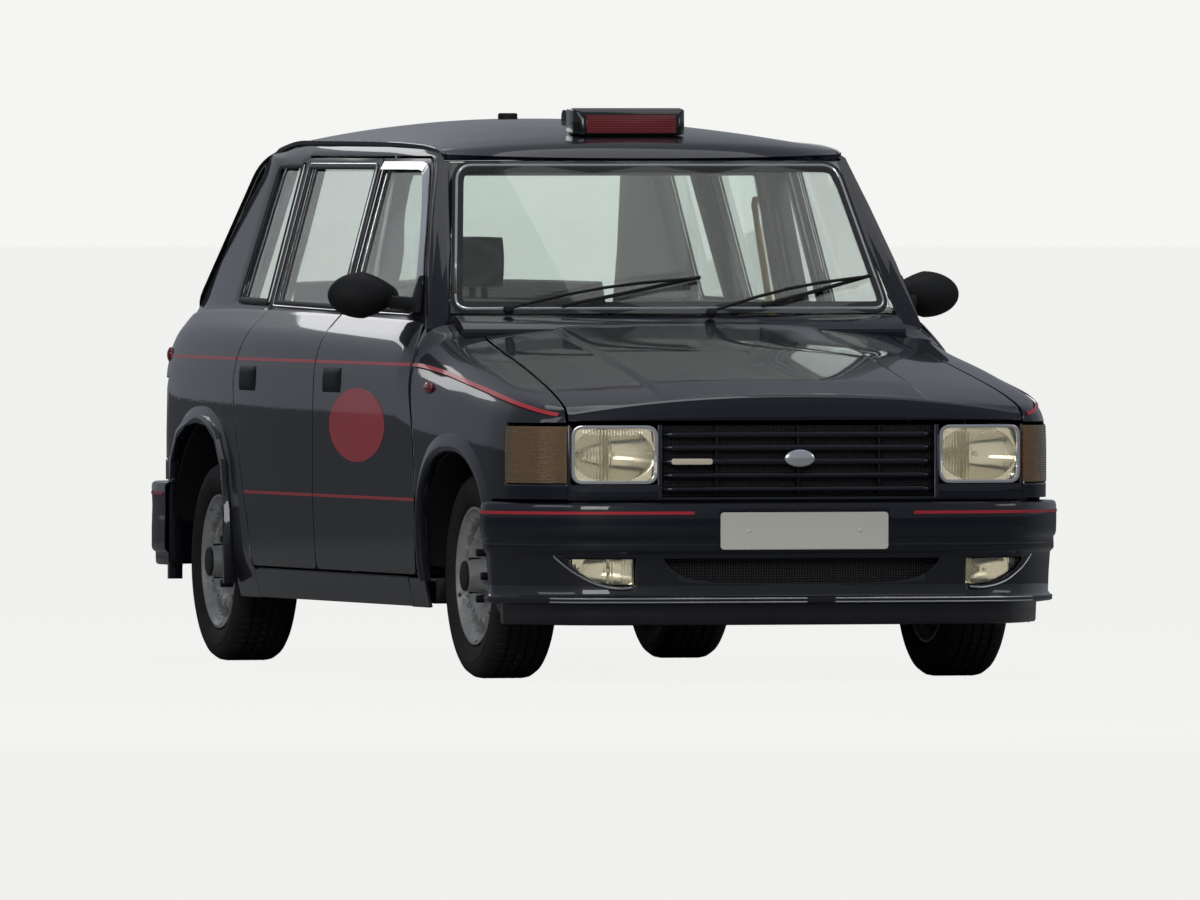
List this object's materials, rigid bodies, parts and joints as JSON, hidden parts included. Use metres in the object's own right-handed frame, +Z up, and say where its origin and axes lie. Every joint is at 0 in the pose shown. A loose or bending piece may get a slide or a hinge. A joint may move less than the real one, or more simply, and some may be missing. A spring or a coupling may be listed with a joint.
{
  "type": "taxi cab",
  "caption": "Tall taxi cab with front-hinged passenger doors, hinged bonnet and boot lid, steered front wheels and free-spinning road wheels.",
  "frame": {"origin": "centre of the ground rectangle under the car's outline", "axes": "+X to the car's left, +Y towards the tail, +Z up; the car faces -Y"},
  "size_m": [1.9752, 4.505, 1.696],
  "materials": {
    "body_paint": "deep gloss",
    "chassis_black": "satin",
    "bare_steel": "cast and machined",
    "wheel_silver": "silver paint",
    "black_trim": "grained",
    "window_glass": "clear",
    "seat_cover": "woven",
    "tyre_rubber": "moulded",
    "lamp_glass": "fluted",
    "indicator_glass": "fluted",
    "tail_lamp_glass": "fluted",
    "engine_iron": "rough cast",
    "exhaust_steel": "heat stained"
  },
  "bodies": {
    "body": {"chassis_frame": "chassis_black", "floor_pan": "chassis_black", "side_frame_right": "body_paint", "side_frame_left": "body_paint", "roof_panel": "body_paint", "scuttle_panel": "body_paint", "front_wings": "body_paint", "nose_panel": "body_paint", "grille": "black_trim", "headlamps": "lamp_glass", "indicator_lamps": "indicator_glass", "front_bumper": "body_paint", "rear_bumper": "body_paint", "rear_panel": "body_paint", "tail_lamps": "tail_lamp_glass", "windscreen": "window_glass", "rear_screen": "window_glass", "quarter_glass": "window_glass", "roof_sign": "black_trim", "wipers": "black_trim", "dashboard": "black_trim", "steering_wheel": "black_trim", "driver_seat": "seat_cover", "partition": "black_trim", "partition_glass": "window_glass", "tip_up_seats": "seat_cover", "rear_seat": "seat_cover", "engine_block": "engine_iron", "fuel_tank": "chassis_black", "exhaust": "exhaust_steel", "front_suspension": "chassis_black", "rear_axle": "chassis_black"},
    "bonnet": {"bonnet": "body_paint"},
    "boot_lid": {"boot_lid": "body_paint"},
    "door_front_right": {"front_door_right": "body_paint", "front_door_glass_right": "window_glass", "mirror_right": "black_trim"},
    "door_front_left": {"front_door_left": "body_paint", "front_door_glass_left": "window_glass", "mirror_left": "black_trim"},
    "door_rear_right": {"rear_door_right": "body_paint", "rear_door_glass_right": "window_glass"},
    "door_rear_left": {"rear_door_left": "body_paint", "rear_door_glass_left": "window_glass"},
    "knuckle_right": {"knuckle_right": "bare_steel"},
    "knuckle_left": {"knuckle_left": "bare_steel"},
    "wheel_front_right": {"tyre_front_right": "tyre_rubber", "rim_front_right": "wheel_silver"},
    "wheel_front_left": {"tyre_front_left": "tyre_rubber", "rim_front_left": "wheel_silver"},
    "wheel_rear_right": {"tyre_rear_right": "tyre_rubber", "rim_rear_right": "wheel_silver"},
    "wheel_rear_left": {"tyre_rear_left": "tyre_rubber", "rim_rear_left": "wheel_silver"}
  },
  "joints": [
    {"name": "steer_right", "type": "hinge", "parent": "body", "child": "knuckle_right", "pos_m": [-0.678, -1.4425, 0.305], "axis": [0, 0, 1], "range_deg": [-35, 35]},
    {"name": "steer_left", "type": "hinge", "parent": "body", "child": "knuckle_left", "pos_m": [0.678, -1.4425, 0.305], "axis": [0, 0, 1], "range_deg": [-35, 35]},
    {"name": "spin_front_right", "type": "hinge", "parent": "knuckle_right", "child": "wheel_front_right", "pos_m": [-0.7, -1.4425, 0.305], "axis": [1, 0, 0], "continuous": true},
    {"name": "spin_front_left", "type": "hinge", "parent": "knuckle_left", "child": "wheel_front_left", "pos_m": [0.7, -1.4425, 0.305], "axis": [1, 0, 0], "continuous": true},
    {"name": "spin_rear_right", "type": "hinge", "parent": "body", "child": "wheel_rear_right", "pos_m": [-0.695, 1.4535, 0.305], "axis": [1, 0, 0], "continuous": true},
    {"name": "spin_rear_left", "type": "hinge", "parent": "body", "child": "wheel_rear_left", "pos_m": [0.695, 1.4535, 0.305], "axis": [1, 0, 0], "continuous": true},
    {"name": "front_right_door_hinge", "type": "hinge", "parent": "body", "child": "door_front_right", "pos_m": [-0.873, -1.0825, 0.6], "axis": [0, 0, 1], "range_deg": [0, 65]},
    {"name": "front_left_door_hinge", "type": "hinge", "parent": "body", "child": "door_front_left", "pos_m": [0.873, -1.0825, 0.6], "axis": [0, 0, -1], "range_deg": [0, 65]},
    {"name": "rear_right_door_hinge", "type": "hinge", "parent": "body", "child": "door_rear_right", "pos_m": [-0.873, 0.0535, 0.6], "axis": [0, 0, 1], "range_deg": [0, 70]},
    {"name": "rear_left_door_hinge", "type": "hinge", "parent": "body", "child": "door_rear_left", "pos_m": [0.873, 0.0535, 0.6], "axis": [0, 0, -1], "range_deg": [0, 70]},
    {"name": "bonnet_hinge", "type": "hinge", "parent": "body", "child": "bonnet", "pos_m": [0, -0.9985, 1.056], "axis": [-1, 0, 0], "range_deg": [0, 55]},
    {"name": "boot_lid_hinge", "type": "hinge", "parent": "body", "child": "boot_lid", "pos_m": [0, 2.0275, 1.075], "axis": [1, 0, 0], "range_deg": [0, 70]}
  ],
  "couplings": [
    {"joint": "steer_left", "follows": "steer_right", "ratio": 1}
  ]
}
